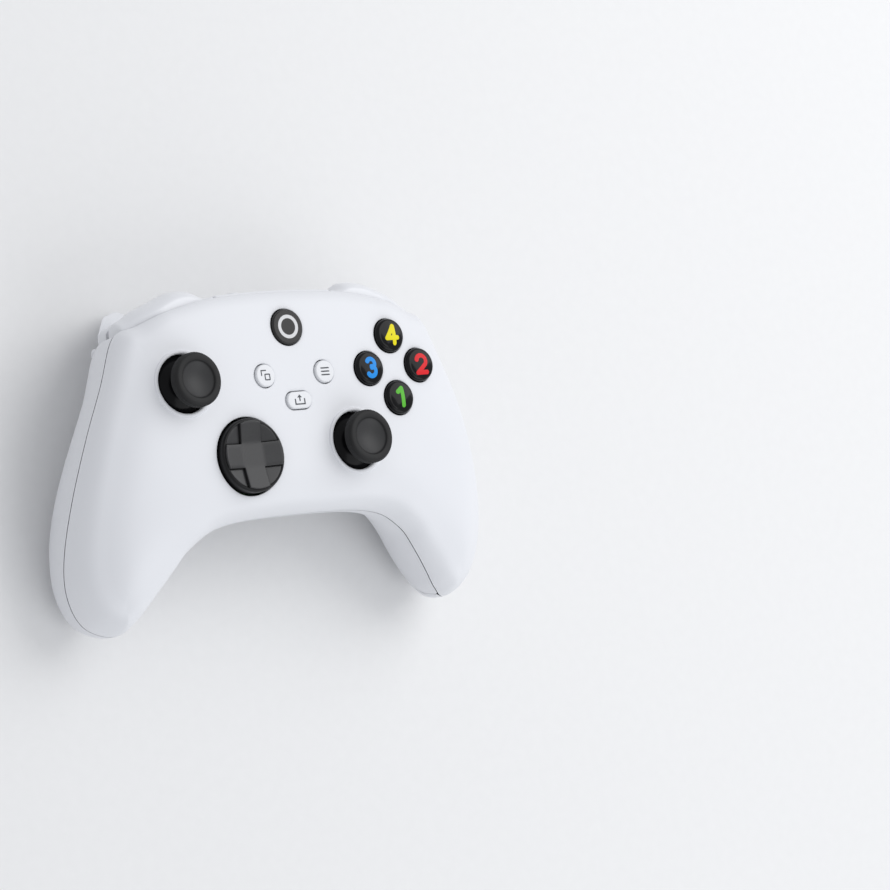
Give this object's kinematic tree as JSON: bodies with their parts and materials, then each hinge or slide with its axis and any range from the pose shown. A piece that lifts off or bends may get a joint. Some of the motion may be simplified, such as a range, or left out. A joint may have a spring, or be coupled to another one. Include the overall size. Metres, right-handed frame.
{
  "type": "wireless gamepad",
  "caption": "White two-handed wireless gamepad with thumb sticks, a direction pad, action buttons, bumpers, triggers and a battery door.",
  "frame": {"origin": "centre of the bounding box at the table, pad lying face up on its grips and trigger noses", "axes": "+X to the player's right, +Y from the grips towards the triggers and the charging port, +Z out of the face"},
  "size_m": [0.155, 0.1008, 0.051],
  "materials": {
    "face_white": "fine matte moulding",
    "back_white": "fine matte moulding",
    "grip_white": "matte with small raised dots",
    "edge_white": "smooth satin",
    "trigger_white": "matte with small raised dots",
    "small_white": "smooth, printed with small grey signs",
    "stick_black": "matte with a knurled rim",
    "pad_black": "satin",
    "action_black": "gloss with coloured numbers",
    "home_black": "smoked gloss",
    "frame_grey": "moulded",
    "steel": "plain",
    "weight_dark": "sintered",
    "membrane_grey": "matte",
    "board_green": "solder mask",
    "light_guide": "frosted clear",
    "socket_black": "moulded",
    "cell_grey": "plain sleeve"
  },
  "bodies": {
    "case": {"front_shell": "face_white", "rear_shell": "back_white", "left_grip_panel": "grip_white", "right_grip_panel": "grip_white", "top_cap": "edge_white", "left_trigger_pin": "steel", "right_trigger_pin": "steel", "left_trigger_spring": "steel", "right_trigger_spring": "steel", "left_stick_base": "steel", "right_stick_base": "steel", "dpad_post": "frame_grey", "home_light_guide": "light_guide", "button_membrane": "membrane_grey", "main_board": "board_green", "lower_board": "board_green", "mid_frame": "frame_grey", "left_rumble_motor": "steel", "right_rumble_motor": "steel", "left_trigger_motor": "steel", "right_trigger_motor": "steel", "usb_port": "steel", "headset_jack": "socket_black", "battery_cells": "cell_grey", "battery_contacts": "steel", "case_screws": "steel"},
    "battery_door_body": {"battery_door": "back_white"},
    "left_bumper_body": {"left_bumper": "edge_white"},
    "right_bumper_body": {"right_bumper": "edge_white"},
    "left_trigger_body": {"left_trigger": "trigger_white"},
    "right_trigger_body": {"right_trigger": "trigger_white"},
    "left_stick_yoke_body": {"left_stick_yoke": "frame_grey"},
    "right_stick_yoke_body": {"right_stick_yoke": "frame_grey"},
    "left_stick_rocker_body": {"left_stick_rocker": "frame_grey"},
    "right_stick_rocker_body": {"right_stick_rocker": "frame_grey"},
    "left_stick_cap_body": {"left_stick_cap": "stick_black"},
    "right_stick_cap_body": {"right_stick_cap": "stick_black"},
    "dpad_cap_body": {"dpad_cap": "pad_black"},
    "dpad_rocker_body": {"dpad_rocker": "frame_grey"},
    "action_bottom_body": {"action_bottom": "action_black"},
    "action_right_body": {"action_right": "action_black"},
    "action_left_body": {"action_left": "action_black"},
    "action_top_body": {"action_top": "action_black"},
    "home_button_body": {"home_button": "home_black"},
    "view_button_body": {"view_button": "small_white"},
    "menu_button_body": {"menu_button": "small_white"},
    "share_button_body": {"share_button": "small_white"},
    "pair_button_body": {"pair_button": "small_white"},
    "left_rumble_weight_body": {"left_rumble_weight": "weight_dark"},
    "right_rumble_weight_body": {"right_rumble_weight": "weight_dark"},
    "left_trigger_weight_body": {"left_trigger_weight": "weight_dark"},
    "right_trigger_weight_body": {"right_trigger_weight": "weight_dark"}
  },
  "joints": [
    {"name": "action_bottom_press", "type": "slide", "parent": "case", "child": "action_bottom_body", "axis": [0, 0, -1], "range_m": [0, 0.0015], "stiffness_N_per_m": 400, "springref_m": -0.0005},
    {"name": "action_right_press", "type": "slide", "parent": "case", "child": "action_right_body", "axis": [0, 0, -1], "range_m": [0, 0.0015], "stiffness_N_per_m": 400, "springref_m": -0.0005},
    {"name": "action_left_press", "type": "slide", "parent": "case", "child": "action_left_body", "axis": [0, 0, -1], "range_m": [0, 0.0015], "stiffness_N_per_m": 400, "springref_m": -0.0005},
    {"name": "action_top_press", "type": "slide", "parent": "case", "child": "action_top_body", "axis": [0, 0, -1], "range_m": [0, 0.0015], "stiffness_N_per_m": 400, "springref_m": -0.0005},
    {"name": "home_button_press", "type": "slide", "parent": "case", "child": "home_button_body", "axis": [0, 0, -1], "range_m": [0, 0.0008], "stiffness_N_per_m": 700, "springref_m": -0.0004},
    {"name": "view_button_press", "type": "slide", "parent": "case", "child": "view_button_body", "axis": [0, 0, -1], "range_m": [0, 0.0008], "stiffness_N_per_m": 700, "springref_m": -0.0004},
    {"name": "menu_button_press", "type": "slide", "parent": "case", "child": "menu_button_body", "axis": [0, 0, -1], "range_m": [0, 0.0008], "stiffness_N_per_m": 700, "springref_m": -0.0004},
    {"name": "share_button_press", "type": "slide", "parent": "case", "child": "share_button_body", "axis": [0, 0, -1], "range_m": [0, 0.0008], "stiffness_N_per_m": 700, "springref_m": -0.0004},
    {"name": "pair_button_press", "type": "slide", "parent": "case", "child": "pair_button_body", "axis": [0, -1, 0], "range_m": [0, 0.0005], "stiffness_N_per_m": 900, "springref_m": -0.0004},
    {"name": "left_stick_tilt_fore", "type": "hinge", "parent": "case", "child": "left_stick_yoke_body", "pos_m": [-0.0406, 0.0205, 0.033], "axis": [1, 0, 0], "range_deg": [-13, 13], "stiffness_Nm_per_rad": 0.03},
    {"name": "left_stick_tilt_side", "type": "hinge", "parent": "left_stick_yoke_body", "child": "left_stick_rocker_body", "pos_m": [-0.0406, 0.0205, 0.033], "axis": [0, 1, 0], "range_deg": [-13, 13], "stiffness_Nm_per_rad": 0.03},
    {"name": "left_stick_press", "type": "slide", "parent": "left_stick_rocker_body", "child": "left_stick_cap_body", "axis": [0, 0, -1], "range_m": [0, 0.0006], "stiffness_N_per_m": 3000, "springref_m": -0.0003},
    {"name": "right_stick_tilt_fore", "type": "hinge", "parent": "case", "child": "right_stick_yoke_body", "pos_m": [0.0196, -0.0009, 0.033], "axis": [1, 0, 0], "range_deg": [-13, 13], "stiffness_Nm_per_rad": 0.03},
    {"name": "right_stick_tilt_side", "type": "hinge", "parent": "right_stick_yoke_body", "child": "right_stick_rocker_body", "pos_m": [0.0196, -0.0009, 0.033], "axis": [0, 1, 0], "range_deg": [-13, 13], "stiffness_Nm_per_rad": 0.03},
    {"name": "right_stick_press", "type": "slide", "parent": "right_stick_rocker_body", "child": "right_stick_cap_body", "axis": [0, 0, -1], "range_m": [0, 0.0006], "stiffness_N_per_m": 3000, "springref_m": -0.0003},
    {"name": "dpad_tilt_fore", "type": "hinge", "parent": "case", "child": "dpad_rocker_body", "pos_m": [-0.0211, -0.0029, 0.0395], "axis": [1, 0, 0], "range_deg": [-4, 4], "stiffness_Nm_per_rad": 0.1},
    {"name": "dpad_tilt_side", "type": "hinge", "parent": "dpad_rocker_body", "child": "dpad_cap_body", "pos_m": [-0.0211, -0.0029, 0.0395], "axis": [0, 1, 0], "range_deg": [-4, 4], "stiffness_Nm_per_rad": 0.1},
    {"name": "left_bumper_press", "type": "hinge", "parent": "case", "child": "left_bumper_body", "pos_m": [-0.0215, 0.0436, 0.033], "axis": [0, 0, 1], "range_deg": [0, 2], "stiffness_Nm_per_rad": 0.5, "springref_deg": -0.57},
    {"name": "left_trigger_pull", "type": "hinge", "parent": "case", "child": "left_trigger_body", "pos_m": [-0.038, 0.0341, 0.0225], "axis": [1, 0, 0], "range_deg": [-15, 0], "stiffness_Nm_per_rad": 0.05, "springref_deg": 14.32},
    {"name": "left_rumble_spin", "type": "hinge", "parent": "case", "child": "left_rumble_weight_body", "pos_m": [-0.0585, -0.0249, 0.0151], "axis": [0, 1, 0], "continuous": true},
    {"name": "left_trigger_rumble_spin", "type": "hinge", "parent": "case", "child": "left_trigger_weight_body", "pos_m": [-0.0448, 0.0239, 0.0184], "axis": [1, 0, 0], "continuous": true},
    {"name": "right_bumper_press", "type": "hinge", "parent": "case", "child": "right_bumper_body", "pos_m": [0.0215, 0.0436, 0.033], "axis": [0, 0, 1], "range_deg": [-2, 0], "stiffness_Nm_per_rad": 0.5, "springref_deg": 0.57},
    {"name": "right_trigger_pull", "type": "hinge", "parent": "case", "child": "right_trigger_body", "pos_m": [0.038, 0.0341, 0.0225], "axis": [1, 0, 0], "range_deg": [-15, 0], "stiffness_Nm_per_rad": 0.05, "springref_deg": 14.32},
    {"name": "right_rumble_spin", "type": "hinge", "parent": "case", "child": "right_rumble_weight_body", "pos_m": [0.0585, -0.0249, 0.0151], "axis": [0, 1, 0], "continuous": true},
    {"name": "right_trigger_rumble_spin", "type": "hinge", "parent": "case", "child": "right_trigger_weight_body", "pos_m": [0.0448, 0.0239, 0.0184], "axis": [1, 0, 0], "continuous": true},
    {"name": "battery_door_off", "type": "slide", "parent": "case", "child": "battery_door_body", "axis": [0, 0, -1], "range_m": [0, 0.012]}
  ]
}
